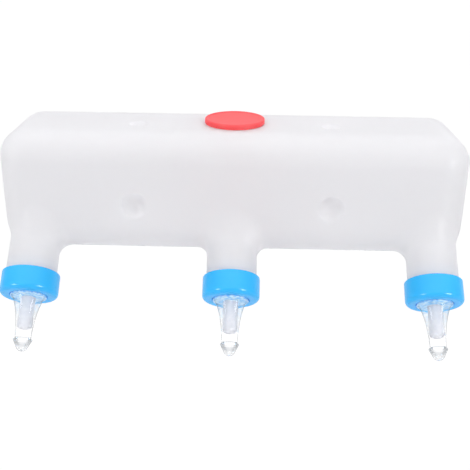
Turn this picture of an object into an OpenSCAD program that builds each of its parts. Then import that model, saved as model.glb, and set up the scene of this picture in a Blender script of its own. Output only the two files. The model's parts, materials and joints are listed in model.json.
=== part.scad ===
/* [Tank] */
// Length of the tank
tank_length = 360; // [300:5:480]
// Depth of the tank from back to front
tank_depth = 95; // [92:1:120]
// Height of the tank
tank_height = 95; // [80:1:120]
// Radius of the tank's edges and corners
edge_radius = 22; // [16:1:24]
// Wall of the tank
tank_wall = 2.4; // [1.6:0.1:3.6]

/* [Dimples] */
// Distance between the two dimples of a pair
dimple_spacing = 150; // [100:5:200]
// How far the dimples sit from the middle of their face, towards the necks
dimple_shift = 6.5; // [0:0.5:10]
// Mouth diameter of the front dimples
front_dimple_diameter = 19; // [10:0.5:24]
// Depth of the front dimples
front_dimple_depth = 9; // [3:0.5:14]
// Mouth diameter of the top dimples
top_dimple_diameter = 15; // [8:0.5:20]
// Depth of the top dimples
top_dimple_depth = 4; // [2:0.5:8]

/* [Filler and lid] */
// Diameter of the filler hole
filler_diameter = 38; // [28:0.5:38]
// How far the lid's disc laps over the tank round the filler hole
lid_lap = 4.5; // [3:0.5:6]
// Thickness of the lid's disc
lid_thickness = 4; // [3:0.1:6]
// Radius of the lid's upper edge
lid_edge_radius = 1.4; // [0.5:0.1:2]
// Width of the raised ring along the lid's edge
lid_ring_width = 3; // [2.4:0.1:6]
// How far the middle of the lid lies below its ring
lid_panel_drop = 0.5; // [0.2:0.1:1]
// Depth of the lid's plug below the top of the tank
plug_depth = 12; // [6:0.5:20]
// Wall of the lid's plug
plug_wall = 2; // [1.2:0.1:2.4]
// Clearance all round between the plug and the filler hole
plug_clearance = 0.3; // [0.2:0.05:0.6]

/* [Necks] */
// Distance from the end of the tank to the axis of the outer necks
neck_inset = 25; // [24:1:60]
// Angle of the necks below the horizontal
neck_angle = 45; // [40:1:50]
// Diameter of a neck between the tank and the cap
neck_diameter = 38.5; // [37:0.5:42]
// Length of a neck from the rounded edge of the tank to its mouth
neck_length = 40; // [36:0.5:60]
// Radius of the blend where a neck grows out of the tank
root_radius = 10; // [5:0.5:12]
// Diameter of a neck's end at the root of its thread
finish_diameter = 36; // [32:0.5:36]
// Wall of a neck at its mouth
neck_wall = 2.5; // [2:0.1:4]

/* [Caps] */
// Height of a cap
cap_height = 18; // [14:0.5:24]
// Wall of a cap's skirt
cap_wall = 2; // [1.5:0.1:3]
// Thickness of a cap's end
cap_end = 2.2; // [1.8:0.1:3]
// Radial room for the thread between a neck and its cap
thread_room = 2; // [1.5:0.1:2.5]
// Radius of the edge round a cap's end
cap_edge_radius = 3.5; // [1:0.1:4]
// Radius of the rim where the cap meets the neck
cap_rim_radius = 0.8; // [0.3:0.1:1]
// Diameter of the opening in a cap's end
cap_opening = 28; // [27:0.5:31]
// Radius of the edge round the opening
opening_edge_radius = 1; // [0.4:0.1:1.4]
// Gap between a cap's rim and the shoulder of the neck
rim_gap = 0.8; // [0.4:0.1:3]

/* [Teats] */
// Length of a teat beyond the cap
teat_length = 43; // [36:0.5:60]
// Thickness of the flange that seals a teat on its neck
flange_thickness = 2.5; // [1.5:0.1:4]
// Clearance all round between the flange and the cap
flange_clearance = 0.5; // [0.3:0.1:1]
// Clearance all round between a teat and the cap's opening
opening_clearance = 0.3; // [0.2:0.05:0.6]
// Height of the teat's collar above the cap's end
collar_rise = 0.7; // [0.3:0.1:2]
// Diameter of the cone at its foot
cone_diameter = 22.4; // [20:0.2:24]
// Angle between the axis and the side of the cone at its foot
cone_lean = 33; // [24:1:40]
// Radius of the fillet between the collar and the cone
cone_fillet = 2; // [1:0.1:2.5]
// Diameter of the stem behind the head
stem_diameter = 11.9; // [11:0.1:14]
// Diameter of the head
head_diameter = 14.2; // [14:0.1:18]
// Length of the head from its shoulder to the tip
head_length = 8.8; // [6:0.1:12]
// Length of the flare from the stem to the head
flare_length = 1.2; // [0.5:0.1:3]
// Radius that the nose of the head rounds towards
nose_radius = 4.2; // [2:0.1:6]
// Diameter of the milk bore
milk_bore = 8; // [6:0.1:9]
// Thickness of clear silicone between the milk bore and the tip
tip_thickness = 16.5; // [12:0.5:22]
// Diameter of the milk bore's funnel at the flange
funnel_diameter = 20; // [12:0.5:24]
// Length of the funnel
funnel_length = 7; // [4:0.5:12]
// Length of each cut of the crossed feed slit
slit_length = 4; // [2:0.5:5]
// Width of the feed slit
slit_width = 0.4; // [0.3:0.1:0.8]

/* [Hidden] */
$fn = 64;

// Facets of the parts that are blended by hulls and lofts
ball_facets = 32;
root_sides = 32;
fillet_step = 18;
foot_rings = 3;
curve_steps = 12;
edge_steps = 6;
// Overrun of cutting shapes past the faces that they open
overrun = 1;
// Step that keeps a blended root just inside the round neck at its upper end
root_seam = 0.3;
// Sink that makes the blend cross the skin of the tank at a clear angle
root_sink = 0.4;
// Share of the blend that is spread across the tank's edge
side_share = 0.5;
// Share of a dimple's mouth that its floor rounds towards
dimple_floor_share = 0.62;
// Share of the funnel's length along which it turns into the milk bore
funnel_bend_share = 0.33;

// Stations of the three necks along the tank
LEFT = -1;
MIDDLE = 0;
RIGHT = 1;

neck_spacing = tank_length / 2 - neck_inset;
neck_radius = neck_diameter / 2;
// Share of the fillet that the rounded end of the tank leaves room for beside an outer neck
end_share = min(1, max(0, (neck_inset - edge_radius - neck_radius) / root_radius));
bore_radius = finish_diameter / 2 - neck_wall;
mouth_height = edge_radius + neck_length;
cap_bore_radius = finish_diameter / 2 + thread_room;
cap_radius = cap_bore_radius + cap_wall;
cap_face = flange_thickness + cap_end;
cap_cover = cap_height - cap_face;
finish_length = cap_cover + rim_gap;
flange_radius = cap_bore_radius - flange_clearance;
collar_radius = cap_opening / 2 - opening_clearance;
teat_tip = cap_face + teat_length;
head_shoulder = teat_tip - head_length;
stem_end = head_shoulder - flare_length;
bore_end = teat_tip - tip_thickness;
lid_radius = filler_diameter / 2 + lid_lap;
plug_radius = filler_diameter / 2 - plug_clearance;

// Point at share t along a curve that leaves a towards b and arrives at c
function curve_point(a, b, c, t) = (1 - t) * (1 - t) * a + 2 * t * (1 - t) * b + t * t * c;

// Points along that curve, without its first one
function curve(a, b, c) = [for (k = [1:curve_steps]) curve_point(a, b, c, k / curve_steps)];

// Points of an arc from one angle to another
function arc(centre, radius, from, to) = [
    for (k = [0:edge_steps])
        let (angle = from + (to - from) * k / edge_steps)
        centre + radius * [cos(angle), sin(angle)]
];

// Solid of revolution from an outline of radii and heights
module turned(outline) {
    rotate_extrude() polygon(outline);
}

// Ball whose poles lie exactly on its radius
module ball(radius) {
    rotate_extrude($fn = ball_facets)
        intersection() {
            circle(radius, $fn = ball_facets);
            translate([0, -radius]) square([radius, 2 * radius]);
        }
}

// Long block with rounded edges and corners, its back on the plane y = 0
module rounded_block(inset) {
    hull()
        for (x = [-1, 1], y = [edge_radius, tank_depth - edge_radius], z = [-1, 1])
            translate([x * (tank_length / 2 - edge_radius), -y, z * (tank_height / 2 - edge_radius)])
                ball(edge_radius - inset);
}

// Solid through a stack of rings, listed from the top down
module loft(rings) {
    sides = len(rings[0]);
    last = len(rings) - 1;
    polyhedron(
        points = [for (ring = rings) each ring],
        faces = concat(
            [[for (k = [sides - 1:-1:0]) k]],
            [for (i = [0:last - 1], k = [0:sides - 1])
                [i * sides + k, i * sides + (k + 1) % sides, (i + 1) * sides + (k + 1) % sides]],
            [for (i = [0:last - 1], k = [0:sides - 1])
                [i * sides + k, (i + 1) * sides + (k + 1) % sides, (i + 1) * sides + k]],
            [[for (k = [0:sides - 1]) last * sides + k]]
        )
    );
}

// Ring of the blended root at one height, with a half width for each way along the tank
function root_ring(half_left, half_right, half_across, height) = [
    for (k = [0:root_sides - 1])
        let (angle = 360 * k / root_sides, half = cos(angle) < 0 ? half_left : half_right)
        [half * cos(angle), half_across * sin(angle), height]
];

// Lowest height at which the side of a neck leaves the flat faces of the tank
function side_height(radius, edge) = min(
    (edge - radius * sin(neck_angle)) / cos(neck_angle),
    (edge - radius * cos(neck_angle)) / sin(neck_angle)
);

// Spread of the root across the tank's edge, from nothing at the top of the blend
function side_spread(height, side, blend) =
    let (share = max(0, side + blend - height) / (2 * blend))
    side_share * blend * share * share;

// Blended root of a neck: a fillet along the tank's edge that dies into the faces beside it
module neck_root(station, radius, edge, blend) {
    start = radius - root_seam;
    side = side_height(radius, edge);
    edge_top = edge - root_sink;
    foot = side - blend;
    left_share = station == LEFT ? end_share : 1;
    right_share = station == RIGHT ? end_share : 1;
    fillet = [
        for (turn = [0:fillet_step:90])
            [edge_top + blend * (1 - sin(turn)), blend * (1 - cos(turn))]
    ];
    feet = [
        for (k = [1:foot_rings])
            [edge_top + (foot - edge_top) * k / foot_rings, blend]
    ];
    loft([
        for (level = concat(fillet, feet))
            let (height = level[0], spread = level[1], across = side_spread(height, side, blend))
            root_ring(
                start + max(left_share * spread, across),
                start + max(right_share * spread, across),
                start + across,
                height
            )
    ]);
}

// Frame of one station: the origin on the centre of the tank's edge, +z out along the neck
module at_edge(station) {
    translate([station * neck_spacing, edge_radius - tank_depth, edge_radius - tank_height / 2])
        rotate([90 + neck_angle, 0, 0])
            children();
}

// Frame of one station at the mouth of its neck
module at_mouth(station) {
    at_edge(station) translate([0, 0, mouth_height]) children();
}

// Outside of a neck with its blended root and the plain end that carries the thread
module neck(station) {
    foot = side_height(neck_radius, edge_radius) - root_radius;
    shoulder = mouth_height - finish_length;
    at_edge(station) {
        neck_root(station, neck_radius, edge_radius, root_radius);
        translate([0, 0, foot]) cylinder(h = shoulder - foot, r = neck_radius);
        translate([0, 0, foot]) cylinder(h = mouth_height - foot, r = finish_diameter / 2);
    }
}

// Inside of a neck, which opens into the tank along the same blend
module neck_passage(station) {
    inner_edge = edge_radius - tank_wall;
    inner_blend = root_radius + tank_wall;
    foot = side_height(bore_radius, inner_edge) - inner_blend;
    at_edge(station) {
        neck_root(station, bore_radius, inner_edge, inner_blend);
        translate([0, 0, foot]) cylinder(h = mouth_height - foot + overrun, r = bore_radius);
    }
}

// Bowl of a dimple below the plane z = 0, with its skin grown outwards by a wall
module dimple(mouth, depth, grown) {
    rim = mouth / 2 + grown;
    floor_radius = dimple_floor_share * mouth / 2 + grown;
    floor_depth = depth + grown;
    turned(concat(
        [[0, overrun], [rim, overrun], [rim, 0]],
        curve([rim, 0], [floor_radius, -floor_depth], [0, -floor_depth])
    ));
}

// The two pairs of dimples, on the front and on the top
module dimples(grown) {
    for (x = [-1, 1] * dimple_spacing / 2) {
        translate([x, -tank_depth, -dimple_shift])
            rotate([90, 0, 0])
                dimple(front_dimple_diameter, front_dimple_depth, grown);
        translate([x, -tank_depth / 2 - dimple_shift, tank_height / 2])
            dimple(top_dimple_diameter, top_dimple_depth, grown);
    }
}

// Milk space of the tank, which goes round the inside of the dimples
module milk_space() {
    difference() {
        rounded_block(tank_wall);
        dimples(tank_wall);
    }
}

// Frame of the filler: the origin on the top of the tank, in the middle of the hole
module at_filler() {
    translate([0, -tank_depth / 2, tank_height / 2]) children();
}

module tank() {
    color("whitesmoke")
        difference() {
            union() {
                rounded_block(0);
                for (station = [LEFT, MIDDLE, RIGHT]) neck(station);
            }
            milk_space();
            dimples(0);
            for (station = [LEFT, MIDDLE, RIGHT]) neck_passage(station);
            at_filler()
                translate([0, 0, -tank_wall - overrun])
                    cylinder(h = tank_wall + 2 * overrun, d = filler_diameter);
        }
}

// Disc with a raised ring and a hollow plug, in one moulding
module filler_lid() {
    panel = lid_thickness - lid_panel_drop;
    ring_radius = lid_radius - lid_ring_width;
    plug_inside = plug_radius - plug_wall;
    plug_chamfer = plug_wall / 2;
    color("tomato")
        at_filler()
            turned(concat(
                [[0, panel], [ring_radius, panel], [ring_radius + lid_panel_drop, lid_thickness]],
                arc([lid_radius - lid_edge_radius, lid_thickness - lid_edge_radius], lid_edge_radius, 90, 0),
                [
                    [lid_radius, 0], [plug_radius, 0], [plug_radius, plug_chamfer - plug_depth],
                    [plug_radius - plug_chamfer, -plug_depth], [plug_inside, -plug_depth],
                    [plug_inside, panel - plug_wall], [0, panel - plug_wall]
                ]
            ));
}

// Screw cap, open at both ends, with its heights counted from the mouth of the neck
module cap(station) {
    opening_radius = cap_opening / 2;
    color("deepskyblue")
        at_mouth(station)
            turned(concat(
                [[cap_bore_radius, -cap_cover]],
                arc([cap_radius - cap_rim_radius, cap_rim_radius - cap_cover], cap_rim_radius, -90, 0),
                arc([cap_radius - cap_edge_radius, cap_face - cap_edge_radius], cap_edge_radius, 0, 90),
                arc([opening_radius + opening_edge_radius, cap_face - opening_edge_radius],
                    opening_edge_radius, 90, 180),
                [[opening_radius, flange_thickness], [cap_bore_radius, flange_thickness]]
            ));
}

// Crossed slit that lets the milk out at the tip
module feed_slit() {
    for (turn = [0, 90])
        rotate([0, 0, turn])
            translate([-slit_length / 2, -slit_width / 2, bore_end - milk_bore / 2])
                cube([slit_length, slit_width, tip_thickness + milk_bore / 2 + overrun]);
}

// Teat with its sealing flange, with its heights counted from the mouth of the neck
module teat(station) {
    collar_top = cap_face + collar_rise;
    cone_foot = collar_top + cone_fillet * (1 - sin(cone_lean));
    cone_radius = cone_diameter / 2;
    fillet_centre = [cone_radius + cone_fillet * cos(cone_lean), collar_top + cone_fillet];
    stem_radius = stem_diameter / 2;
    head_radius = head_diameter / 2;
    bore = milk_bore / 2;
    funnel_radius = funnel_diameter / 2;
    funnel_bend = funnel_bend_share * funnel_length;
    waist = [stem_radius, cone_foot + (cone_radius - stem_radius) / tan(cone_lean)];
    color("aliceblue", 0.6)
        at_mouth(station)
            difference() {
                turned(concat(
                    [
                        [funnel_radius, 0], [flange_radius, 0], [flange_radius, flange_thickness],
                        [collar_radius, flange_thickness], [collar_radius, collar_top]
                    ],
                    arc(fillet_centre, cone_fillet, 270, 180 + cone_lean),
                    curve([cone_radius, cone_foot], waist, [stem_radius, stem_end]),
                    [[head_radius, head_shoulder]],
                    curve([head_radius, head_shoulder], [nose_radius, teat_tip], [0, teat_tip]),
                    arc([0, bore_end - bore], bore, 90, 0),
                    curve([bore, funnel_length], [bore, funnel_bend], [funnel_radius, 0])
                ));
                feed_slit();
            }
}

tank();
filler_lid();
cap(LEFT);  // cap_left
cap(MIDDLE);  // cap_middle
cap(RIGHT);  // cap_right
teat(LEFT);  // teat_left
teat(MIDDLE);  // teat_middle
teat(RIGHT);  // teat_right
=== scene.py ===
"""Looks of a hanging lamb feeder, dressed around its solids.

The milky tank is one blow moulding with three sloping screw necks. A red lid plugs its filler hole, and a
blue ring cap holds a clear silicone teat on each neck. Sizes are in metres, in the frame of the solids: the
origin is the middle of the tank's back face, +X runs along the tank, the front faces -Y and +Z is up.
"""

import json
import logging
import math
from dataclasses import dataclass, field, replace
from enum import Enum, IntEnum
from typing import Any, Optional, Sequence, Union

import bmesh
import bpy
import numpy as np
from mathutils import Matrix, Vector


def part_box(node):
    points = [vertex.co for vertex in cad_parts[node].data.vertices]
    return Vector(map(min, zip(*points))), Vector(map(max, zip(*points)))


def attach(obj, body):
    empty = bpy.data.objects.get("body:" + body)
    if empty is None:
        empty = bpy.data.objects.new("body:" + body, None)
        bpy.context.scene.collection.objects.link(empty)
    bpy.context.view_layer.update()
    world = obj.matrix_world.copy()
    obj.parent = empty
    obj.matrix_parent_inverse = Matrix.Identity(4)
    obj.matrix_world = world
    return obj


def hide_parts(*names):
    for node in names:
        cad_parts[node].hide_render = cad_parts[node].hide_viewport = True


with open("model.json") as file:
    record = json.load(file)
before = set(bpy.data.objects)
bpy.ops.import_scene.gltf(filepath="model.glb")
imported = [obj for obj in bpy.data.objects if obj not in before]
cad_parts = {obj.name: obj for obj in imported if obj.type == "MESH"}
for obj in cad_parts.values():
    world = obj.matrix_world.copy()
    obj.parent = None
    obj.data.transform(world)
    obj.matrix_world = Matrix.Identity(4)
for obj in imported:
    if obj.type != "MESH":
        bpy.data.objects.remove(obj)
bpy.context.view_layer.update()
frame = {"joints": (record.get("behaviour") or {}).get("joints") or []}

LOG = logging.getLogger("lamb_feeder")
FULL_TURN = 2 * math.pi
MM = 0.001
CRISP_EDGE = 0.2 * MM
FINE_EDGE = 0.3 * MM
SOFT_EDGE = 0.4 * MM
MERGE_GAP = 0.002 * MM
SHARP_EDGE = math.radians(40)
PLASTIC_REFRACTION = 1.5
SILICONE_REFRACTION = 1.41

BMesh = bmesh.types.BMesh
Material = bpy.types.Material
Object = bpy.types.Object
Pair = tuple[float, float]
Triple = tuple[float, float, float]
Colour = tuple[float, float, float, float]
Value = Union["Wire", float, Sequence[float]]

WHITE: Colour = (1.0, 1.0, 1.0, 1.0)


class Station(Enum):
    """The three necks along the tank, seen from the front."""

    LEFT = "left"
    MIDDLE = "middle"
    RIGHT = "right"


class Coat(IntEnum):
    """The material slots of a teat."""

    CLEAR = 0
    LINING = 1
    COLLAR = 2


@dataclass(frozen=True)
class NeckFrame:
    """The frame of one neck: its origin in the middle of the mouth, its z axis out along the neck."""

    origin: Vector
    axis: Vector

    @classmethod
    def at(cls, station: Station) -> "NeckFrame":
        """Read a neck's place from the joint that its cap turns on.

        Args:
            station: Which neck.

        Returns:
            The frame of that neck.
        """
        name = f"cap_{station.value}_turn"
        joint = next(j for j in frame["joints"] if j["name"] == name)
        return cls(Vector(joint["pos_m"]), Vector(joint["axis"]).normalized())

    def matrix(self) -> Matrix:
        """Give the matrix that puts a piece made round the z axis on this neck.

        Returns:
            The matrix.
        """
        along = Vector((1, 0, 0))
        across = self.axis.cross(along)
        turn = Matrix((along, across, self.axis)).transposed()
        return Matrix.Translation(self.origin) @ turn.to_4x4()

    def carry(self, bm: BMesh) -> None:
        """Move a mesh made round the z axis onto this neck."""
        bmesh.ops.transform(bm, matrix=self.matrix(), verts=bm.verts)


class Wire:
    """A shader socket that takes part in sums, so that an expression adds its own Math nodes."""

    def __init__(self, shader: "Shader", socket: Optional[bpy.types.NodeSocket]) -> None:
        """Keep the socket and the shader that it belongs to."""
        self.shader = shader
        self.socket = socket

    def _math(self, operation: str, first: Value, second: Value) -> "Wire":
        """Add one Math node for two values."""
        return self.shader.node("ShaderNodeMath", {"operation": operation}, {0: first, 1: second})

    def __add__(self, other: Value) -> "Wire":
        """Add a value."""
        return self._math("ADD", self, other)

    __radd__ = __add__

    def __sub__(self, other: Value) -> "Wire":
        """Take a value away."""
        return self._math("SUBTRACT", self, other)

    def __rsub__(self, other: Value) -> "Wire":
        """Take this away from a value."""
        return self._math("SUBTRACT", other, self)

    def __mul__(self, other: Value) -> "Wire":
        """Multiply by a value."""
        return self._math("MULTIPLY", self, other)

    __rmul__ = __mul__

    def larger(self, other: Value) -> "Wire":
        """Give the larger of this and a value."""
        return self._math("MAXIMUM", self, other)


class Shader:
    """The node tree of one material or of the world."""

    def __init__(self, tree: bpy.types.NodeTree) -> None:
        """Start from an empty tree."""
        self.tree = tree
        tree.nodes.clear()

    def node(
        self,
        kind: str,
        settings: Optional[dict[str, Any]] = None,
        sockets: Optional[dict[Union[str, int], Value]] = None,
        output: Union[str, int] = 0,
    ) -> Wire:
        """Add one node.

        Args:
            kind: The node's type.
            settings: Its own settings, set first.
            sockets: Values or wires for its inputs, by name or number.
            output: Which output to hand on.

        Returns:
            A wire from that output, or an empty one if the node has no outputs.
        """
        made = self.tree.nodes.new(kind)
        for name, value in (settings or {}).items():
            setattr(made, name, value)
        for key, value in (sockets or {}).items():
            if isinstance(value, Wire):
                self.tree.links.new(value.socket, made.inputs[key])
            else:
                made.inputs[key].default_value = value
        return Wire(self, made.outputs[output] if len(made.outputs) else None)

    def place(self, stretch: Sequence[float] = (1.0, 1.0, 1.0)) -> Wire:
        """Give Object coordinates, squeezed by a factor along each axis."""
        plain = self.node("ShaderNodeTexCoord", output="Object")
        return self.node("ShaderNodeMapping", {}, {"Vector": plain, "Scale": stretch})

    def noise(self, place: Wire, scale: float, detail: float = 2.0) -> Wire:
        """Give noise from 0 to 1 with that many lumps to the metre."""
        sockets = {"Vector": place, "Scale": scale, "Detail": detail}
        return self.node("ShaderNodeTexNoise", {}, sockets, "Fac")

    def blend(self, factor: Value, first: Value, second: Value) -> Wire:
        """Mix two colours."""
        settings = {"data_type": "RGBA"}
        return self.node("ShaderNodeMix", settings, {0: factor, 6: first, 7: second}, 2)

    def fade(self, value: Wire, low: float, high: float) -> Wire:
        """Rise smoothly from 0 to 1 between two values."""
        sockets = {"Value": value, "From Min": low, "From Max": high}
        return self.node("ShaderNodeMapRange", {"interpolation_type": "SMOOTHSTEP"}, sockets)

    def relief(self, height: Wire, distance: float, strength: float) -> Wire:
        """Give the normal of a surface with that relief, its full height in metres."""
        return self.node("ShaderNodeBump", {}, {"Height": height, "Distance": distance, "Strength": strength})

    def mix(self, share: Value, first: Wire, second: Wire) -> Wire:
        """Mix two shaders, with a share of the second."""
        return self.node("ShaderNodeMixShader", {}, {0: share, 1: first, 2: second})

    def skin(self, sockets: dict[str, Value]) -> Wire:
        """Add a Principled skin."""
        return self.node("ShaderNodeBsdfPrincipled", {"subsurface_method": "BURLEY"}, sockets)

    def let_through(self, skin: Wire, colour: Colour, share: Value) -> Wire:
        """Let a share of the light pass through a skin, in one colour, and spread on its far side."""
        passed = self.node("ShaderNodeBsdfTranslucent", {}, {"Color": colour})
        return self.mix(share, skin, passed)

    def ray(self, kind: str) -> Wire:
        """Give 1 for rays of one kind and 0 for all others."""
        return self.node("ShaderNodeLightPath", output=f"Is {kind} Ray")

    def along(self, place: Wire, axis: str) -> Wire:
        """Give one coordinate of a place."""
        return self.node("ShaderNodeSeparateXYZ", {}, {"Vector": place}, axis)

    def compare(self, operation: str, place: Wire, other: Sequence[float]) -> Wire:
        """Measure a place against a fixed vector."""
        return self.node("ShaderNodeVectorMath", {"operation": operation}, {0: place, 1: other}, "Value")

    def surface(self, result: Wire) -> None:
        """Use a shader as the material's surface."""
        self.node("ShaderNodeOutputMaterial", {}, {"Surface": result})


def new_material(name: str) -> tuple[Material, Shader]:
    """Make an empty material.

    Args:
        name: The material's name.

    Returns:
        The material and its shader.
    """
    material = bpy.data.materials.new(name)
    material.use_nodes = True
    return material, Shader(material.node_tree)


@dataclass(frozen=True)
class MilkyPolyethylene:
    """Blow-moulded polyethylene: white, satin, and thin enough to let light through."""

    thin: Colour = (0.785, 0.783, 0.797, 1.0)
    thick: Colour = (0.805, 0.803, 0.815, 1.0)
    passing: Colour = (0.845, 0.842, 0.857, 1.0)
    roughness: float = 0.31
    flow_roughness: float = 0.06
    grain_roughness: float = 0.04
    gloss: float = 0.3
    scatter_depth: float = 12 * MM
    glow: float = 0.4
    bowl_glow_painted_fill: float = 0.08
    cloud_scale: float = 16.0
    flow_scale: float = 160.0
    flow_stretch: Triple = (0.05, 1.0, 1.0)
    peel_scale: float = 220.0
    grain_scale: float = 1900.0
    relief_shares: Triple = (0.5, 0.35, 0.15)
    relief_height: float = 0.12 * MM
    relief_strength: float = 0.6

    def _pressed(self, shader: Shader, bowls: "list[Dimple]") -> Wire:
        """Give how far the wall was pressed in: 1 in the middle of a dimple, 0 away from them all.

        Args:
            shader: The shader to add to.
            bowls: The dimples.

        Returns:
            The share, over the surface.
        """
        found = shader.node("ShaderNodeValue")
        for bowl in bowls:
            away = shader.compare("DISTANCE", shader.place(), bowl.centre)
            found += 1.0 - shader.fade(away, 0.0, bowl.mouth_radius)
        return found

    def material(self, bowls: "list[Dimple]") -> Material:
        """Make the finish, with drawn-out flow lines along the tank and a fine mould grain.

        Args:
            bowls: The dimples, where less light passes through the wall so that the bowls reflect more:
                painted fill light that lightens the shade in them.

        Returns:
            The material.
        """
        material, shader = new_material("milky_polyethylene")
        place = shader.place()
        cloud = shader.noise(place, self.cloud_scale, detail=3.0)
        flow = shader.noise(shader.place(self.flow_stretch), self.flow_scale, detail=3.0)
        peel = shader.noise(place, self.peel_scale)
        grain = shader.noise(place, self.grain_scale, detail=1.0)
        most, some, least = self.relief_shares
        height = most * flow + some * peel + least * grain
        skin = shader.skin(
            {
                "Base Color": shader.blend(cloud, self.thin, self.thick),
                "Roughness": self.roughness + self.flow_roughness * flow + self.grain_roughness * grain,
                "Normal": shader.relief(height, self.relief_height, self.relief_strength),
                "IOR": PLASTIC_REFRACTION,
                "Specular IOR Level": self.gloss,
                "Subsurface Weight": 1.0,
                "Subsurface Radius": (1.0, 1.0, 1.0),
                "Subsurface Scale": self.scatter_depth,
            }
        )
        # Painted fill light: the dimples let less light through and reflect more, which lightens the shade in
        # their bowls.
        share = self.glow + (self.bowl_glow_painted_fill - self.glow) * self._pressed(shader, bowls)
        shader.surface(shader.let_through(skin, self.passing, share))
        return material


@dataclass(frozen=True)
class MouldedFinish:
    """A moulded skin: clouds of two close colours, a fine grain and a share of light that passes through."""

    name: str
    pale: Colour
    deep: Colour
    passing: Colour
    glow: float
    roughness: float
    cloud_scale: float
    grain_scale: float
    relief_height: float
    relief_strength: float = 0.5
    grain_roughness: float = 0.08
    gloss: float = 0.5
    refraction: float = PLASTIC_REFRACTION
    cloud_detail: float = 2.0
    cloud_range: Optional[Pair] = None
    grain_detail: float = 2.0
    ripple_scale: float = 320.0
    ripple_share: float = 0.0
    scatter: float = 0.0
    scatter_shares: Triple = (1.0, 1.0, 1.0)
    scatter_depth: float = 1 * MM

    def material(self) -> Material:
        """Make the finish.

        Returns:
            The material.
        """
        material, shader = new_material(self.name)
        place = shader.place()
        cloud = shader.noise(place, self.cloud_scale, self.cloud_detail)
        if self.cloud_range:
            cloud = shader.fade(cloud, *self.cloud_range)
        grain = shader.noise(place, self.grain_scale, self.grain_detail)
        ripple = shader.noise(place, self.ripple_scale)
        height = self.ripple_share * ripple + (1 - self.ripple_share) * grain
        skin = shader.skin(
            {
                "Base Color": shader.blend(cloud, self.deep, self.pale),
                "Roughness": self.roughness + self.grain_roughness * grain,
                "Normal": shader.relief(height, self.relief_height, self.relief_strength),
                "IOR": self.refraction,
                "Specular IOR Level": self.gloss,
                "Subsurface Weight": self.scatter,
                "Subsurface Radius": self.scatter_shares,
                "Subsurface Scale": self.scatter_depth,
            }
        )
        shader.surface(shader.let_through(skin, self.passing, self.glow))
        return material


SOFT_RED = MouldedFinish(
    "soft_red_plastic",
    pale=(1.0, 0.15, 0.175, 1.0),
    deep=(0.97, 0.13, 0.135, 1.0),
    passing=(1.0, 0.03, 0.04, 1.0),
    glow=0.4,
    roughness=0.34,
    cloud_scale=60.0,
    cloud_detail=3.0,
    grain_scale=2600.0,
    relief_height=0.05 * MM,
    scatter=1.0,
    scatter_shares=(1.0, 0.25, 0.2),
    scatter_depth=3 * MM,
)
GLOSSY_BLUE = MouldedFinish(
    "glossy_blue_plastic",
    pale=(0.04, 0.58, 1.0, 1.0),
    deep=(0.03, 0.55, 0.98, 1.0),
    passing=(0.06, 0.66, 1.0, 1.0),
    glow=0.3,
    roughness=0.18,
    cloud_scale=70.0,
    grain_scale=3000.0,
    grain_detail=1.0,
    ripple_share=0.7,
    relief_height=0.02 * MM,
    relief_strength=0.4,
)
MATT_LINING = MouldedFinish(
    "matt_silicone",
    pale=(0.745, 0.75, 0.785, 1.0),
    deep=(0.685, 0.695, 0.74, 1.0),
    passing=(0.745, 0.75, 0.785, 1.0),
    glow=0.15,
    roughness=0.4,
    grain_roughness=0.1,
    gloss=0.08,
    refraction=SILICONE_REFRACTION,
    cloud_scale=380.0,
    cloud_range=(0.3, 0.7),
    grain_scale=2400.0,
    relief_height=0.04 * MM,
)
# Painted light: the collar's blue stands in for the blue cap's light seen through clear silicone, and its
# strong light-and-dark blue mottle stands in for glints and dark refractions.
BLUE_LIT_COLLAR = replace(
    MATT_LINING,
    name="frosted_silicone_painted_cap_light",
    pale=(0.64, 0.86, 1.0, 1.0),
    deep=(0.18, 0.53, 0.93, 1.0),
    passing=(0.64, 0.86, 1.0, 1.0),
    glow=0.05,
    roughness=0.1,
    gloss=0.5,
)


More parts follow.
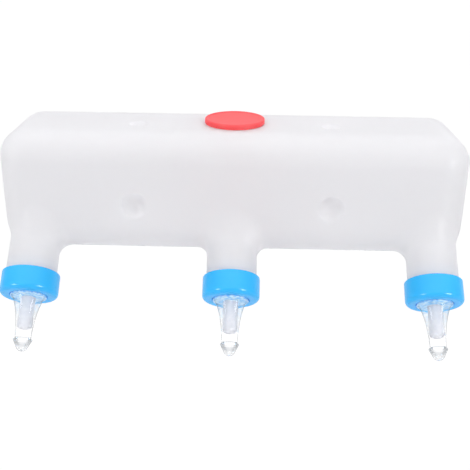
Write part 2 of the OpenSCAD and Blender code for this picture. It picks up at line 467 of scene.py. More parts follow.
@dataclass(frozen=True)
class ClearSilicone:
    """Clear, polished silicone, which lets part of the light go straight on instead of bending it, with
    painted shade along its outlines and the nose's flanks.
    """

    tint: Colour = (0.99, 0.993, 1.0, 1.0)
    roughness: float = 0.02
    ripple_roughness: float = 0.02
    ripple_scale: float = 260.0
    relief_height: float = 0.03 * MM
    relief_strength: float = 0.5
    flank_clear: float = 0.75
    flank_facing: Pair = (0.12, 0.32)
    flank_end: Pair = (18 * MM, 27 * MM)
    nose_clear: float = 0.85
    nose_start: Pair = (37.2 * MM, 38.2 * MM)
    # Painted shade: the grey that the outlines and the nose's flanks are tinted with.
    painted_edge_shade: Colour = (0.7, 0.715, 0.73, 1.0)
    stroke_facing: Pair = (0.1, 0.3)
    stroke_end: Pair = (41.5 * MM, 44 * MM)
    edge_clear: float = 0.85
    rim_facing: Pair = (0.5, 0.8)
    # How much painted shade the outlines get.
    painted_rim_shade: float = 0.9

    def _straight(self, shader: Shader) -> tuple[Wire, Wire]:
        """Add the light that goes straight on: most on the cone's flanks, the outlines and the nose.

        Args:
            shader: The shader to add to.

        Returns:
            The share of that light, and its shader, tinted grey along the nose's flanks and all outlines:
            painted shade for the dark refraction at those edges.
        """
        neck = NeckFrame.at(Station.MIDDLE)
        out = shader.compare("DOT_PRODUCT", shader.place(), tuple(neck.axis)) - neck.origin.dot(neck.axis)
        turned = shader.node("ShaderNodeLayerWeight", output="Facing")
        nose = shader.fade(out, *self.nose_start)
        edge = shader.fade(turned, *self.rim_facing)
        cone = 1.0 - shader.fade(out, *self.flank_end)
        flank = self.flank_clear * cone * shader.fade(turned, *self.flank_facing)
        share = flank.larger(self.edge_clear * edge).larger(self.nose_clear * nose)
        # Painted shade: grey along the nose's flanks and round every outline stands in for the dark
        # refraction at those edges.
        nose_side = nose * (1.0 - shader.fade(out, *self.stroke_end))
        painted_stroke = shader.fade(turned, *self.stroke_facing) * nose_side
        painted_shade = painted_stroke.larger(self.painted_rim_shade * edge)
        clear = shader.node("ShaderNodeBsdfTransparent", {}, {"Color": self.tint})
        shaded_through = shader.node("ShaderNodeBsdfTransparent", {}, {"Color": self.painted_edge_shade})
        return share, shader.mix(painted_shade, clear, shaded_through)

    def material(self) -> Material:
        """Make the finish, with a faint ripple. Shadow rays pass, so that the lamps reach the bore.

        Returns:
            The material.
        """
        material, shader = new_material("clear_silicone")
        ripple = shader.noise(shader.place(), self.ripple_scale)
        skin = shader.skin(
            {
                "Base Color": self.tint,
                "Roughness": self.roughness + self.ripple_roughness * ripple,
                "Normal": shader.relief(ripple, self.relief_height, self.relief_strength),
                "IOR": SILICONE_REFRACTION,
                "Transmission Weight": 1.0,
            }
        )
        share, straight = self._straight(shader)
        shader.surface(shader.mix(shader.ray("Shadow").larger(share), skin, straight))
        return material


class Outline:
    """Radii and heights of a turned piece, with round corners where they are asked for."""

    ARC_STEP = math.radians(11)
    MOST_OF_EDGE = 0.48

    def __init__(self, *corners: Sequence[float]) -> None:
        """Start with corners, each a radius, a height and perhaps the radius that rounds it."""
        self.corners: list[tuple[Vector, float]] = []
        for corner in corners:
            self.to(*corner)

    def to(self, radius: float, height: float, rounding: float = 0.0) -> "Outline":
        """Go straight to a corner, rounded by a radius, and hand the outline on."""
        self.corners.append((Vector((radius, height)), rounding))
        return self

    def curve(self, bend: Sequence[float], end: Sequence[float], steps: int) -> "Outline":
        """Follow a curve from the last corner, towards a bend, to an end.

        Args:
            bend: Radius and height that the curve is drawn towards.
            end: Radius and height where it ends.
            steps: Number of straight steps that stand for it.

        Returns:
            The outline, so that calls chain.
        """
        start, bend, end = self.corners[-1][0], Vector(bend), Vector(end)
        for step in range(1, steps + 1):
            t = step / steps
            point = (1 - t) ** 2 * start + 2 * t * (1 - t) * bend + t * t * end
            self.to(point.x, point.y)
        return self

    def arc(self, centre: Sequence[float], radius: float, first: float, last: float) -> "Outline":
        """Follow an arc.

        Args:
            centre: Radius and height of its centre.
            radius: Its own radius.
            first: Angle in degrees where it starts, from the way out to the way up.
            last: Angle in degrees where it ends.

        Returns:
            The outline, so that calls chain.
        """
        steps = max(2, math.ceil(math.radians(abs(last - first)) / self.ARC_STEP))
        for step in range(steps + 1):
            angle = math.radians(first + (last - first) * step / steps)
            self.to(centre[0] + radius * math.cos(angle), centre[1] + radius * math.sin(angle))
        return self

    def _rounded(self, before: Vector, corner: Vector, after: Vector, rounding: float) -> list[Vector]:
        """Give the points of one rounded corner.

        Args:
            before: The corner before it.
            corner: The corner.
            after: The corner after it.
            rounding: The radius that rounds it.

        Returns:
            The points of the arc, or of a smaller one where the edges are short.
        """
        back, on = before - corner, after - corner
        half = back.angle(on) / 2
        longest = self.MOST_OF_EDGE * min(back.length, on.length)
        reach = min(rounding / math.tan(half), longest)
        first, last = corner + back.normalized() * reach, corner + on.normalized() * reach
        middle = (back.normalized() + on.normalized()).normalized()
        centre = corner + middle * (reach / math.cos(half))
        sweep = math.pi - 2 * half
        steps = max(2, math.ceil(sweep / self.ARC_STEP))
        from_centre, to_centre = first - centre, last - centre
        points = []
        for step in range(steps + 1):
            near, far = math.sin(sweep * (1 - step / steps)), math.sin(sweep * step / steps)
            points.append(centre + (from_centre * near + to_centre * far) / math.sin(sweep))
        return points

    def points(self, closed: bool) -> list[Vector]:
        """Give the outline's points, with its corners rounded.

        Args:
            closed: Whether the last point joins the first.

        Returns:
            The points, each a radius and a height.
        """
        found: list[Vector] = []
        count = len(self.corners)
        for index, (corner, rounding) in enumerate(self.corners):
            inside = closed or 0 < index < count - 1
            if rounding > 0 and inside:
                before, after = self.corners[index - 1][0], self.corners[(index + 1) % count][0]
                found.extend(self._rounded(before, corner, after, rounding))
            else:
                found.append(corner)
        return found


def turn(bm: BMesh, outline: Outline, closed: bool, steps: int, slot: int = 0) -> None:
    """Turn an outline once round the z axis.

    Args:
        bm: The mesh that takes the new faces.
        outline: The outline in the plane of x and z.
        closed: Whether the outline is a closed section.
        steps: Number of steps in the full turn.
        slot: Material slot of the new faces.
    """
    already = len(bm.faces)
    verts = [bm.verts.new((p.x, 0.0, p.y)) for p in outline.points(closed)]
    pairs = list(zip(verts, verts[1:])) + ([(verts[-1], verts[0])] if closed else [])
    edges = [bm.edges.new(pair) for pair in pairs]
    bmesh.ops.spin(
        bm, geom=verts + edges, cent=(0, 0, 0), axis=(0, 0, 1), angle=FULL_TURN, steps=steps, use_merge=True
    )
    bm.faces.ensure_lookup_table()
    for face in bm.faces[already:]:
        face.material_index = slot


@dataclass(frozen=True)
class ScrewThread:
    """One right-handed thread, drawn by a small section that climbs as it turns."""

    root_radius: float
    crest_radius: float
    start: float
    turns: float
    pitch: float = 4 * MM
    root_width: float = 2.0 * MM
    crest_width: float = 0.9 * MM
    steps_a_turn: int = 60
    run_out: float = 0.12

    def add(self, bm: BMesh) -> None:
        """Add the thread to a mesh, fading into its root at both ends.

        Args:
            bm: The mesh that takes the thread.
        """
        first = len(bm.verts)
        section = [
            (self.root_radius, -self.root_width / 2),
            (self.crest_radius, -self.crest_width / 2),
            (self.crest_radius, self.crest_width / 2),
            (self.root_radius, self.root_width / 2),
        ]
        verts = [bm.verts.new((radius, 0.0, self.start + rise)) for radius, rise in section]
        face = bm.faces.new(verts)
        steps = round(self.turns * self.steps_a_turn)
        bmesh.ops.spin(
            bm,
            geom=[face] + list(face.edges) + verts,
            cent=(0, 0, 0),
            axis=(0, 0, 1),
            dvec=(0, 0, self.pitch / self.steps_a_turn),
            angle=FULL_TURN * self.turns,
            steps=steps,
        )
        bm.verts.ensure_lookup_table()
        for index, vert in enumerate(bm.verts[first:]):
            share = (index // len(section)) / steps
            height = min(1.0, min(share, 1 - share) * self.turns / self.run_out)
            flat = Vector((vert.co.x, vert.co.y, 0.0))
            sunk = self.root_radius + (flat.length - self.root_radius) * height
            vert.co.xy = flat.xy * (sunk / flat.length)


def close_up(bm: BMesh) -> None:
    """Merge doubled points and turn all faces outwards."""
    bmesh.ops.remove_doubles(bm, verts=bm.verts, dist=MERGE_GAP)
    bmesh.ops.recalc_face_normals(bm, faces=bm.faces)


def passing_object(bm: BMesh) -> Object:
    """Put a mesh in the scene for a moment, so that modifiers can work on it.

    Args:
        bm: The mesh, which stays as it is.

    Returns:
        An object with a copy of it, and with slots for all coats.
    """
    mesh = bpy.data.meshes.new("passing")
    bm.to_mesh(mesh)
    for _ in Coat:
        mesh.materials.append(None)
    thing = bpy.data.objects.new("passing", mesh)
    bpy.context.scene.collection.objects.link(thing)
    return thing


def modified(bm: BMesh, kind: str, settings: dict[str, Any], tool: Optional[BMesh] = None) -> BMesh:
    """Run a mesh through one modifier.

    Args:
        bm: The mesh, which is used up.
        kind: The modifier's type.
        settings: The modifier's settings.
        tool: A second mesh that the modifier works with, also used up.

    Returns:
        The mesh that comes out.
    """
    things = [passing_object(mesh) for mesh in (bm, tool) if mesh is not None]
    modifier = things[0].modifiers.new(kind.lower(), kind)
    for name, value in settings.items():
        setattr(modifier, name, value)
    if tool is not None:
        modifier.object = things[1]
    depsgraph = bpy.context.evaluated_depsgraph_get()
    shaped = bpy.data.meshes.new_from_object(things[0].evaluated_get(depsgraph))
    result = bmesh.new()
    result.from_mesh(shaped)
    bpy.data.meshes.remove(shaped)
    for thing in things:
        bpy.data.meshes.remove(thing.data)
    for mesh in (bm, tool):
        if mesh is not None:
            mesh.free()
    return result


def put_into(bm: BMesh, extra: BMesh) -> None:
    """Move the faces of one mesh into another, and use it up.

    Args:
        bm: The mesh that takes the faces.
        extra: The mesh that is used up.
    """
    mesh = bpy.data.meshes.new("passing")
    extra.to_mesh(mesh)
    extra.free()
    bm.from_mesh(mesh)
    bpy.data.meshes.remove(mesh)


def cut_away(bm: BMesh, tool: BMesh) -> BMesh:
    """Cut one closed mesh out of another."""
    return modified(bm, "BOOLEAN", {"operation": "DIFFERENCE", "solver": "EXACT"}, tool)


def add_cylinder(bm: BMesh, radius: float, depth: float, steps: int, matrix: Matrix) -> None:
    """Add a closed cylinder, made round the z axis and moved by a matrix."""
    size = {"radius1": radius, "radius2": radius, "depth": depth}
    bmesh.ops.create_cone(bm, cap_ends=True, segments=steps, matrix=matrix, **size)


def slice_all(bm: BMesh, place: Vector, normal: Vector, **settings: Any) -> None:
    """Slice all faces of a mesh along a plane."""
    everything = bm.verts[:] + bm.edges[:] + bm.faces[:]
    bmesh.ops.bisect_plane(bm, geom=everything, plane_co=place, plane_no=normal, **settings)


def finished(bm: BMesh, name: str, materials: Sequence[Material]) -> Object:
    """Turn a mesh into a smooth-shaded piece of the scene.

    Args:
        bm: The mesh, which is used up.
        name: The piece's name.
        materials: Its materials, by slot.

    Returns:
        The new object.
    """
    mesh = bpy.data.meshes.new(name)
    bm.to_mesh(mesh)
    bm.free()
    for material in materials:
        mesh.materials.append(material)
    mesh.polygons.foreach_set("use_smooth", [True] * len(mesh.polygons))
    mesh.set_sharp_from_angle(angle=SHARP_EDGE)
    piece = bpy.data.objects.new(name, mesh)
    bpy.context.scene.collection.objects.link(piece)
    return piece


def install(piece: Object, node: str, body: str) -> None:
    """Let a piece stand for a solid and move with its body.

    Args:
        piece: The new piece.
        node: The solid that it replaces.
        body: The body that it rides on.
    """
    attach(piece, body)
    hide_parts(node)
    LOG.info("%s: %d faces, rides on %s", piece.name, len(piece.data.polygons), body)


@dataclass(frozen=True)
class Dimple:
    """A round bowl pressed into one flat face of the tank."""

    centre: Vector
    inward: Vector
    mouth_radius: float
    depth: float
    floor_share: float = 0.62
    lip: float = 1.6 * MM
    face_band: float = 1.0 * MM

    def press(self, points: np.ndarray) -> np.ndarray:
        """Give how far the bowl presses the face in at each point.

        Args:
            points: Points of the face, one to a row.

        Returns:
            Depths in metres, rounded at the lip.
        """
        offset = points - np.array(self.centre)
        inward = np.array(self.inward)
        away = np.linalg.norm(offset - np.outer(offset @ inward, inward), axis=1)
        share = away / self.mouth_radius
        spread = 2 * self.floor_share
        inside = np.clip(spread**2 - 4 * (spread - 1) * share, 0.0, None)
        along = (spread - np.sqrt(inside)) / (2 * (spread - 1))
        slope = 2 / (2 - spread)
        bowl = self.depth * np.where(share < 1, 1 - along**2, slope * (1 - share))
        mixed = np.clip(self.lip - np.abs(bowl), 0.0, None) / self.lip
        return np.maximum(bowl, 0.0) + mixed**2 * self.lip / 4


@dataclass
class MilkTank:
    """The blow-moulded tank, a rounded block whose lower front edge grows three screw necks."""

    finish: MilkyPolyethylene
    depth: float = 95 * MM
    edge_radius: float = 22 * MM
    wall: float = 2.4 * MM
    neck_reach: float = 62 * MM
    neck_radius: float = 19.25 * MM
    neck_end: float = -15 * MM
    weld_gap: float = 0.3 * MM
    root_radius: float = 10 * MM
    end_root_radius: float = 3.5 * MM
    end_fade: float = 14 * MM
    mouth_radius: float = 18 * MM
    mouth_shoulder: float = -14.1 * MM
    bore_radius: float = 15.5 * MM
    filler_radius: float = 19 * MM
    dimple_reach: float = 75 * MM
    dimple_shift: float = 6.5 * MM
    front_dimple: Pair = (9.5 * MM, 7 * MM)
    top_dimple: Pair = (7.5 * MM, 4 * MM)
    flash_height: float = 0.2 * MM
    flash_width: float = 0.9 * MM
    mesh_step: float = 2.2 * MM
    mesh_probe: float = 0.05 * MM
    least_slope: float = 1e-9
    relaxing: tuple[float, ...] = (0.5, 0.5, 0.3, 0.0)
    edge_steps: int = 8
    rough_steps: int = 64
    round_steps: int = 96
    flash_snap: float = 0.05 * MM
    flash_band: float = 0.06 * MM
    mouth_rounding: float = 0.7 * MM
    bore_blend: float = 2 * MM
    thread_sink: float = 0.1 * MM
    thread_crest: float = 19.15 * MM
    thread_start: float = -12.0 * MM
    thread_turns: float = 2.1
    necks: list[NeckFrame] = field(default_factory=lambda: [NeckFrame.at(s) for s in Station])

    def __post_init__(self) -> None:
        """Take the tank's length, height and back face from its solid."""
        low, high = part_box("tank")
        self.top = high.z
        self.half = Vector((high.x - low.x, self.depth, 2 * high.z)) / 2
        self.centre = Vector((0.0, high.y - self.depth / 2, 0.0))

    def _distance(self, points: np.ndarray) -> np.ndarray:
        """Give the distance of points from the tank's skin, which lies a flash's height inside its box.

        Args:
            points: Points in the frame of the solids, one to a row.

        Returns:
            Signed distances, negative inside.
        """
        skin = np.array(self.half) - self.flash_height
        inner = np.abs(points - np.array(self.centre)) - (skin - self.edge_radius)
        outside = np.linalg.norm(np.maximum(inner, 0.0), axis=1)
        found = outside + np.minimum(inner.max(axis=1), 0.0) - self.edge_radius
        blend = self._blend_radius(points)
        for neck in self.necks:
            axis = np.array(neck.axis)
            offset = points - np.array(neck.origin - neck.axis * self.neck_reach)
            along = np.maximum(offset @ axis, 0.0)
            side = np.linalg.norm(offset - np.outer(along, axis), axis=1) - self.neck_radius
            near = np.maximum(blend - np.stack((found, side)), 0.0)
            found = np.maximum(blend, np.minimum(found, side)) - np.linalg.norm(near, axis=0)
        return found

    def _blend_radius(self, points: np.ndarray) -> np.ndarray:
        """Give the radius of the roots' blend, which is small where the rounded end leaves little room.

        Args:
            points: Points, one to a row.

        Returns:
            A radius for each point.
        """
        outer = max(abs(neck.origin.x) for neck in self.necks)
        share = np.clip((np.abs(points[:, 0]) - outer) / self.end_fade, 0.0, 1.0)
        share = share * share * (3 - 2 * share)
        return self.root_radius + (self.end_root_radius - self.root_radius) * share

    def _settle(self, points: np.ndarray, rounds: int = 4) -> np.ndarray:
        """Move points onto the outside of the tank.

        Args:
            points: Points near the outside.
            rounds: Number of steps.

        Returns:
            The moved points.
        """
        for _ in range(rounds):
            slopes = []
            for step in self.mesh_probe * np.eye(3):
                slopes.append(self._distance(points + step) - self._distance(points - step))
            away = np.stack(slopes, axis=1)
            away /= np.maximum(np.linalg.norm(away, axis=1, keepdims=True), self.least_slope)
            points = points - self._distance(points)[:, None] * away
        return points

    def _rough_form(self) -> BMesh:
        """Make the block and the necks as overlapping shapes and fuse them into one even mesh.

        Returns:
            The mesh.
        """
        bm = bmesh.new()
        size = Matrix.Diagonal((*(2 * self.half), 1.0))
        bmesh.ops.create_cube(bm, size=1.0, matrix=Matrix.Translation(self.centre) @ size)
        bmesh.ops.bevel(
            bm,
            geom=bm.edges[:],
            offset=self.edge_radius,
            affect="EDGES",
            segments=self.edge_steps,
            profile=0.5,
            material=-1,
        )
        for neck in self.necks:
            middle = neck.matrix() @ Matrix.Translation((0, 0, -self.neck_reach / 2))
            add_cylinder(bm, self.neck_radius, self.neck_reach, self.rough_steps, middle)
        return modified(bm, "REMESH", {"mode": "VOXEL", "voxel_size": self.mesh_step})

    def _blend_roots(self, bm: BMesh) -> None:
        """Draw the fused mesh onto the true form, with an even spread of points.

        Args:
            bm: The fused mesh.
        """
        every_way = {f"use_axis_{axis}": True for axis in "xyz"}
        for relax in self.relaxing:
            if relax:
                bmesh.ops.smooth_vert(bm, verts=bm.verts, factor=relax, **every_way)
            points = self._settle(np.array([v.co for v in bm.verts]))
            for vert, point in zip(bm.verts, points):
                vert.co = point

    def _dimples(self) -> list[Dimple]:
        """List the two dimples of the front and the two of the top.

        Returns:
            The dimples.
        """
        front_y = self.centre.y - self.half.y
        dimples = []
        for x in (-self.dimple_reach, self.dimple_reach):
            front = Vector((x, front_y, -self.dimple_shift))
            top = Vector((x, self.centre.y - self.dimple_shift, self.top))
            dimples.append(Dimple(front, Vector((0, 1, 0)), *self.front_dimple))
            dimples.append(Dimple(top, Vector((0, 0, -1)), *self.top_dimple))
        return dimples

    def _press(self, bm: BMesh, dimple: Dimple) -> None:
        """Refine the face round one dimple and press its bowl.

        Args:
            bm: The tank's outer skin.
            dimple: The dimple.
        """
        reach = dimple.mouth_radius + 2 * dimple.lip
        normal = -dimple.inward

        def near(vert: bmesh.types.BMVert) -> bool:
            """Tell whether a point of the face lies in the dimple's reach."""
            offset = vert.co - dimple.centre
            rise = offset.dot(normal)
            return abs(rise) < dimple.face_band and (offset - rise * normal).length < reach

        edges = [e for e in bm.edges if near(e.verts[0]) and near(e.verts[1])]
        bmesh.ops.subdivide_edges(bm, edges=edges, cuts=2, use_grid_fill=True)
        verts = [v for v in bm.verts if near(v)]
        for vert, depth in zip(verts, dimple.press(np.array([v.co for v in verts]))):
            vert.co += dimple.inward * depth

    def _raise_flash(self, bm: BMesh) -> None:
        """Raise the fine flash where the two halves of the mould met, in the plane of the necks.

        Args:
            bm: The tank's outer skin.
        """
        neck = self.necks[0]
        normal = neck.axis.cross(Vector((1, 0, 0)))
        for offset in (-self.flash_width / 2, 0.0, self.flash_width / 2):
            slice_all(bm, neck.origin + offset * normal, normal, dist=self.flash_snap)
        bm.normal_update()
        for vert in bm.verts:
            if abs((vert.co - neck.origin).dot(normal)) < self.flash_band:
                vert.co += vert.normal * self.flash_height

    def _open_necks(self, bm: BMesh) -> None:
        """Cut the skin square across each neck, where its threaded end begins."""
        for neck in self.necks:
            slice_all(bm, neck.origin + neck.axis * self.neck_end, neck.axis, clear_outer=True)

    def _drill_filler(self, bm: BMesh) -> BMesh:
        """Cut the filler hole through the top wall.

        Args:
            bm: The tank, which is used up.

        Returns:
            The tank with its hole.
        """
        drill = bmesh.new()
        place = Matrix.Translation((0, self.centre.y, self.top))
        add_cylinder(drill, self.filler_radius, 4 * self.wall, self.round_steps, place)
        return cut_away(bm, drill)

    def _add_mouth(self, bm: BMesh, neck: NeckFrame) -> None:
        """Close the cut end of one neck with the plain ring that carries its thread.

        Args:
            bm: The tank's wall, open at the cut.
            neck: The neck.
        """
        start = self.neck_end + self.weld_gap
        outline = Outline(
            (self.neck_radius, start),
            (self.neck_radius, self.mouth_shoulder, SOFT_EDGE),
            (self.mouth_radius, self.mouth_shoulder, FINE_EDGE),
            (self.mouth_radius, 0.0, self.mouth_rounding),
            (self.bore_radius, 0.0, SOFT_EDGE),
            (self.bore_radius, self.mouth_shoulder, self.bore_blend),
            (self.neck_radius - self.wall, start),
        )
        ring = bmesh.new()
        turn(ring, outline, closed=False, steps=self.round_steps)
        neck.carry(ring)
        put_into(bm, ring)
        outside, inside = [], []
        for edge in bm.edges:
            offset = (edge.verts[0].co + edge.verts[1].co) / 2 - neck.origin
            away = (offset - offset.dot(neck.axis) * neck.axis).length
            if edge.is_boundary and away < self.neck_reach / 2:
                (outside if away > self.neck_radius - self.wall / 2 else inside).append(edge)
        for loops in (outside, inside):
            bmesh.ops.bridge_loops(bm, edges=loops)

    def _add_thread(self, bm: BMesh, neck: NeckFrame) -> None:
        """Wind the thread round the end of one neck.

        Args:
            bm: The mesh that takes the thread.
            neck: The neck.
        """
        root = self.mouth_radius - self.thread_sink
        rib = bmesh.new()
        ScrewThread(root, self.thread_crest, self.thread_start, self.thread_turns).add(rib)
        close_up(rib)
        neck.carry(rib)
        put_into(bm, rib)

    def build(self) -> None:
        """Build the tank and dress it."""
        bm = self._rough_form()
        self._blend_roots(bm)
        dimples = self._dimples()
        for dimple in dimples:
            self._press(bm, dimple)
        self._raise_flash(bm)
        self._open_necks(bm)
        wall = {"thickness": self.wall, "offset": -1.0, "use_even_offset": True, "use_rim": False}
        bm = modified(bm, "SOLIDIFY", wall)
        for neck in self.necks:
            self._add_mouth(bm, neck)
        close_up(bm)
        bm = self._drill_filler(bm)
        for neck in self.necks:
            self._add_thread(bm, neck)
        tank = finished(bm, "milk_tank", [self.finish.material(dimples)])
        install(tank, "tank", "tank")


@dataclass
class FillerLid:
    """The push-in lid: a disc with a raised ring round its edge, over a hollow plug."""

    material: Material
    lap: float = 4.5 * MM
    ring_width: float = 3 * MM
    ring_slope: float = 1.5
    panel_drop: float = 0.5 * MM
    edge_radius: float = 1.4 * MM
    plug_clearance: float = 0.3 * MM
    plug_wall: float = 2 * MM
    plug_lead: float = 0.9 * MM
    plug_rim: float = 0.5 * MM
    plug_root: float = 1.0 * MM
    steps: int = 128

    def build(self, tank: MilkTank) -> None:
        """Build the lid on the tank and dress it.

        Args:
            tank: The tank, which gives the filler hole.
        """
        low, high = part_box("filler_lid")
        seat, top, foot = 0.0, high.z - tank.top, low.z - tank.top
        disc = tank.filler_radius + self.lap
        plug = tank.filler_radius - self.plug_clearance
        inside = plug - self.plug_wall
        panel = top - self.panel_drop
        ceiling = panel - self.plug_wall
        ring = disc - self.ring_width
        outline = Outline(
            (0.0, panel),
            (ring, panel, SOFT_EDGE),
            (ring + self.ring_slope * self.panel_drop, top, SOFT_EDGE),
            (disc, top, self.edge_radius),
            (disc, seat, FINE_EDGE),
            (plug, seat, FINE_EDGE),
            (plug, foot, self.plug_lead),
            (inside, foot, self.plug_rim),
            (inside, ceiling, self.plug_root),
            (0.0, ceiling),
        )
        bm = bmesh.new()
        turn(bm, outline, closed=False, steps=self.steps)
        close_up(bm)
        place = Vector((tank.centre.x, tank.centre.y, tank.top))
        bmesh.ops.translate(bm, vec=place, verts=bm.verts)
        lid = finished(bm, "red_filler_lid", [self.material])
        install(lid, "filler_lid", "lid")


@dataclass
class RingCap:
    """A screw cap that is open in the middle, with its thread inside."""

    material: Material
    radius: float = 22 * MM
    bore_radius: float = 20 * MM
    rim: float = -13.3 * MM
    seat: float = 2.5 * MM
    face: float = 4.7 * MM
    edge_radius: float = 3.5 * MM
    rim_radius: float = 0.8 * MM
    opening_radius: float = 14 * MM
    opening_edge: float = 1.0 * MM
    thread_start: float = -10.0 * MM
    thread_sink: float = 0.1 * MM
    thread_crest: float = 18.9 * MM
    thread_turns: float = 1.8
    seat_rounding: float = 0.5 * MM
    steps: int = 128

    def build(self, station: Station) -> None:
        """Build one cap on its neck and dress it.

        Args:
            station: Which neck it screws on.
        """
        outline = Outline(
            (self.bore_radius, self.rim, SOFT_EDGE),
            (self.radius, self.rim, self.rim_radius),
            (self.radius, self.face, self.edge_radius),
            (self.opening_radius, self.face, self.opening_edge),
            (self.opening_radius, self.seat, CRISP_EDGE),
            (self.bore_radius, self.seat, self.seat_rounding),
        )
        bm = bmesh.new()
        turn(bm, outline, closed=True, steps=self.steps)
        root = self.bore_radius + self.thread_sink
        ScrewThread(root, self.thread_crest, self.thread_start, self.thread_turns).add(bm)
        close_up(bm)
        NeckFrame.at(station).carry(bm)
        cap = finished(bm, f"ring_cap_{station.value}", [self.material])
        install(cap, f"cap_{station.value}", f"cap_{station.value}")


@dataclass
class SoftTeat:
    """A silicone teat with a sealing flange, a milk bore and a crossed feed slit, its materials by coat."""

    materials: Sequence[Material]
    flange_radius: float = 19.5 * MM
    flange: float = 2.5 * MM
    clamp_gap: float = 0.05 * MM
    collar_radius: float = 13.7 * MM
    collar_top: float = 5.4 * MM
    base: float = 5.1 * MM
    bead_width: float = 0.6 * MM
    groove: float = 0.3 * MM
    cone_radius: float = 11.9 * MM
    cone_lean: float = 24.0
    cone_fillet: float = 0.9 * MM
    cone_bend: float = 17 * MM
    stem_radius: float = 5.95 * MM
    stem_end: float = 37.7 * MM
    head_radius: float = 7.1 * MM
    head_shoulder: float = 38.9 * MM
    nose_radius: float = 4.6 * MM
    nose_lean: float = 26.0
    tip: float = 47.5 * MM
    bore_radius: float = 4 * MM
    bore_end: float = 31.2 * MM
    funnel_radius: float = 10 * MM
    funnel_bend_share: float = 0.33
    slit_length: float = 4 * MM
    slit_width: float = 0.3 * MM
    slit_depth: float = 1.2 * MM
    bead_rounding: float = 0.25 * MM
    head_rounding: float = 0.25 * MM
    steps: int = 96

    def _funnel(self) -> Outline:
        """Draw the funnel from the bore to the flange's face.

        Returns:
            The outline.
        """
        start = (self.bore_radius, self.base - self.clamp_gap)
        bend = (self.bore_radius, self.funnel_bend_share * self.base)
        return Outline(start).curve(bend, (self.funnel_radius, self.clamp_gap), steps=12)

    def _collar(self) -> Outline:
        """Draw the flange and the collar, from the funnel's mouth round to the bore.

        Returns:
            The outline.
        """
        top = self.flange - self.clamp_gap
        base = self.base - self.clamp_gap
        bead = self.collar_radius - self.bead_width
        return Outline(
            (self.funnel_radius, self.clamp_gap),
            (self.flange_radius, self.clamp_gap, SOFT_EDGE),
            (self.flange_radius, top, SOFT_EDGE),
            (self.collar_radius, top, CRISP_EDGE),
            (self.collar_radius, self.collar_top, FINE_EDGE),
            (bead, self.collar_top, self.bead_rounding),
            (bead - self.groove, base, CRISP_EDGE),
            (self.bore_radius, base),
        )

    def _outside(self) -> Outline:
        """Draw the outside of the clear part from the collar to the tip.

        Returns:
            The outline.
        """
        lean = math.radians(self.cone_lean)
        foot = self.base + self.cone_fillet * (1 - math.sin(lean))
        fillet = (self.cone_radius + self.cone_fillet * math.cos(lean), self.base + self.cone_fillet)
        bend = (self.cone_radius - (self.cone_bend - foot) * math.tan(lean), self.cone_bend)
        outline = Outline().arc(fillet, self.cone_fillet, 270, 180 + self.cone_lean)
        outline.curve(bend, (self.stem_radius, self.stem_end), steps=24)
        outline.to(self.head_radius, self.head_shoulder, self.head_rounding)
        return outline.arc((0.0, self.tip - self.nose_radius), self.nose_radius, self.nose_lean, 90)

    def _inside(self) -> Outline:
        """Draw the milk bore from its round end to the collar."""
        end = (0.0, self.bore_end - self.bore_radius)
        return Outline().arc(end, self.bore_radius, 90, 0).to(self.bore_radius, self.base)

    def _base(self) -> Outline:
        """Draw the foot of the clear part, where it grows out of the collar."""
        edge = self.cone_radius + self.cone_fillet * math.cos(math.radians(self.cone_lean))
        return Outline((self.bore_radius, self.base), (edge, self.base))

    def _slit(self, bm: BMesh) -> BMesh:
        """Cut the crossed feed slit into the tip.

        Args:
            bm: The teat round the z axis, which is used up.

        Returns:
            The teat with its slit.
        """
        size = Matrix.Diagonal((self.slit_length, self.slit_width, 2 * self.slit_depth, 1.0))
        for turned in (0, math.pi / 2):
            blade = bmesh.new()
            place = Matrix.Translation((0, 0, self.tip)) @ Matrix.Rotation(turned, 4, "Z") @ size
            bmesh.ops.create_cube(blade, size=1.0, matrix=place)
            bm = cut_away(bm, blade)
        return bm

    def build(self, station: Station) -> None:
        """Build one teat in its cap and dress it.

        Args:
            station: Which neck it closes.
        """
        parts = [
            (self._outside(), Coat.CLEAR),
            (self._inside(), Coat.LINING),
            (self._funnel(), Coat.LINING),
            (self._base(), Coat.COLLAR),
            (self._collar(), Coat.COLLAR),
        ]
        bm = bmesh.new()
        for outline, coat in parts:
            turn(bm, outline, closed=False, steps=self.steps, slot=coat)
        close_up(bm)
        bm = self._slit(bm)
        NeckFrame.at(station).carry(bm)
        teat = finished(bm, f"silicone_teat_{station.value}", self.materials)
        install(teat, f"teat_{station.value}", f"teat_{station.value}")


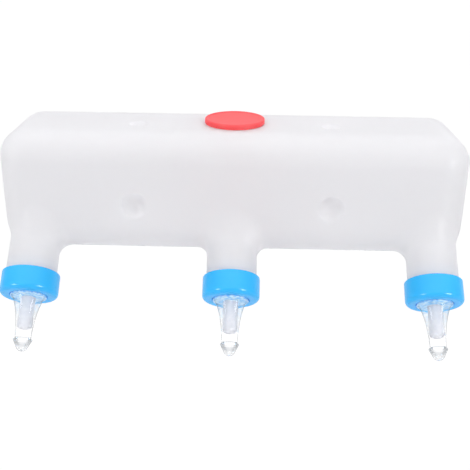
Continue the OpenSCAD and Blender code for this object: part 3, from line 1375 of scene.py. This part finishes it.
@dataclass
class Studio:
    """A pale floor, soft light from both sides and the photograph's viewpoint."""

    camera_place: Triple = (0.01220, -0.63315, 0.19588)
    camera_pitch: float = 22.66
    camera_yaw: float = -1.07
    camera_roll: float = 0.74
    focal_pixels: float = 756.61
    frame_pixels: float = 470.0
    sensor_width: float = 36.0
    camera_clip: float = 0.01
    floor_level: float = -0.45
    floor_size: float = 40.0
    floor_white: float = 0.75
    floor_colour: float = 0.8
    floor_mottle: float = 0.01
    floor_mottle_scale: float = 3.0
    backdrop_start: float = 0.9
    backdrop_spread: float = 0.5
    backdrop_blur: float = 0.3
    mirror_shift: float = 1.6
    horizon_light: float = 0.63
    zenith_light: float = 2.03
    lamp_powers: Pair = (1.3, 1.55)
    glint_powers: Pair = (4.5, 9.0)
    lamp_size: float = 0.3
    lamp_distance: float = 1.2
    lamp_way: Triple = (0.72, -0.64, 0.22)
    lamp_aim: Triple = (0.0, -0.05, -0.02)
    most_bounces: int = 32
    diffuse_bounces: int = 12

    def build(self) -> None:
        """Set up the camera, the lights, the room and the floor."""
        bpy.context.scene.view_settings.view_transform = "Standard"
        self._bounces()
        self._camera()
        self._lamps()
        self._room()
        self._floor()

    def _bounces(self) -> None:
        """Let light go on for long enough to fill the tank and to leave the clear teats."""
        cycles = bpy.context.scene.cycles
        cycles.diffuse_bounces = self.diffuse_bounces
        cycles.max_bounces = cycles.glossy_bounces = cycles.transmission_bounces = self.most_bounces

    def _camera(self) -> None:
        """Put the camera at the photograph's viewpoint."""
        pitch, yaw, roll = (math.radians(a) for a in (self.camera_pitch, self.camera_yaw, self.camera_roll))
        ahead = Vector((math.sin(yaw) * math.cos(pitch), math.cos(yaw) * math.cos(pitch), -math.sin(pitch)))
        level = Vector((math.cos(yaw), -math.sin(yaw), 0.0))
        upright = level.cross(ahead)
        right = math.cos(roll) * level + math.sin(roll) * upright
        up = math.cos(roll) * upright - math.sin(roll) * level
        lens = bpy.data.cameras.new("photo_camera")
        lens.sensor_width = self.sensor_width
        lens.lens = self.focal_pixels / self.frame_pixels * self.sensor_width
        lens.clip_start = self.camera_clip
        camera = bpy.data.objects.new("photo_camera", lens)
        turned = Matrix((right, up, -ahead)).transposed().to_4x4()
        camera.matrix_world = Matrix.Translation(self.camera_place) @ turned
        bpy.context.scene.collection.objects.link(camera)
        bpy.context.scene.camera = camera

    def _lamps(self) -> None:
        """Hang one soft box on each side, halfway up, with a lamp that only glossy skins show."""
        sides = zip((-1, 1), ("left", "right"), self.lamp_powers, self.glint_powers)
        for side, name, soft, bright in sides:
            self._lamp(f"soft_box_{name}", side, soft)
            glint = self._lamp(f"glint_{name}", side, bright)
            glint.visible_diffuse = glint.visible_transmission = False

    def _lamp(self, name: str, side: int, power: float) -> Object:
        """Hang one lamp.

        Args:
            name: Its name.
            side: -1 for the left and 1 for the right.
            power: Its power in watts.

        Returns:
            The lamp.
        """
        lamp = bpy.data.lights.new(name, "AREA")
        lamp.energy = power
        lamp.size = self.lamp_size
        thing = bpy.data.objects.new(name, lamp)
        away = Vector((side * self.lamp_way[0], *self.lamp_way[1:])).normalized()
        thing.location = Vector(self.lamp_aim) + away * self.lamp_distance
        thing.rotation_euler = away.to_track_quat("Z", "Y").to_euler()
        bpy.context.scene.collection.objects.link(thing)
        return thing

    def _room(self) -> None:
        """Fill the room with soft light, brighter overhead, and show it as white behind the feeder."""
        world = bpy.data.worlds.new("studio_room")
        world.use_nodes = True
        bpy.context.scene.world = world
        shader = Shader(world.node_tree)
        way = shader.node("ShaderNodeTexCoord", output="Generated")
        rise = shader.along(way, "Z").larger(0.0)
        level = self.horizon_light + (self.zenith_light - self.horizon_light) * rise * rise
        light = shader.node("ShaderNodeBackground", {}, {"Color": WHITE, "Strength": level})
        white = shader.node("ShaderNodeBackground", {}, {"Color": WHITE, "Strength": 1.0})
        seen = self._seen(shader, self._backdrop(shader, way, 0.0))
        shader.node("ShaderNodeOutputWorld", {}, {"Surface": shader.mix(seen, light, white)})

    def _seen(self, shader: Shader, backdrop: Wire) -> Wire:
        """Give 1 for rays from the camera, and for mirrored and bent ones that meet the backdrop."""
        followed = shader.ray("Glossy").larger(shader.ray("Transmission"))
        return shader.ray("Camera").larger(followed * (1.0 - shader.ray("Diffuse")) * backdrop)

    def _backdrop(self, shader: Shader, way: Wire, start: Value) -> Wire:
        """Give 1 inside the backdrop's spread and 0 beside it and behind the camera.

        Args:
            shader: The shader to add to.
            way: A direction from the feeder, or a place on the floor.
            start: How far before the feeder the backdrop starts.

        Returns:
            The share of white.
        """
        across = shader.along(way, "X")
        back = shader.along(way, "Y") + start
        aside = across.larger(-1.0 * across) - self.backdrop_spread * back
        return 1.0 - shader.fade(aside, 0.0, self.backdrop_blur)

    def _floor(self) -> None:
        """Lay the floor well below the hanging feeder."""
        bm = bmesh.new()
        matrix = Matrix.Translation((0, 0, self.floor_level))
        bmesh.ops.create_grid(bm, x_segments=8, y_segments=8, size=self.floor_size / 2, matrix=matrix)
        material, shader = new_material("pale_floor")
        mottle = shader.noise(shader.place(), self.floor_mottle_scale)
        shades = (self.floor_colour - self.floor_mottle, self.floor_colour + self.floor_mottle)
        colour = shader.blend(mottle, *((shade, shade, shade, 1.0) for shade in shades))
        matt = shader.node("ShaderNodeBsdfDiffuse", {}, {"Color": colour})
        white = shader.node("ShaderNodeEmission", {}, {"Color": WHITE, "Strength": 1.0})
        start = self.backdrop_start - self.mirror_shift * shader.ray("Glossy")
        backdrop = self._backdrop(shader, shader.place(), start)
        factor = self.floor_white * self._seen(shader, backdrop)
        shader.surface(shader.mix(factor, matt, white))
        finished(bm, "floor", [material])


def main() -> None:
    """Build the feeder piece by piece, then the studio, and report each piece."""
    logging.basicConfig(level=logging.INFO, format="%(message)s")
    tank = MilkTank(MilkyPolyethylene())
    tank.build()
    FillerLid(SOFT_RED.material()).build(tank)
    blue = GLOSSY_BLUE.material()
    silicone = [finish.material() for finish in (ClearSilicone(), MATT_LINING, BLUE_LIT_COLLAR)]
    for station in Station:
        RingCap(blue).build(station)
        SoftTeat(silicone).build(station)
    Studio().build()


if __name__ == "__main__":
    main()
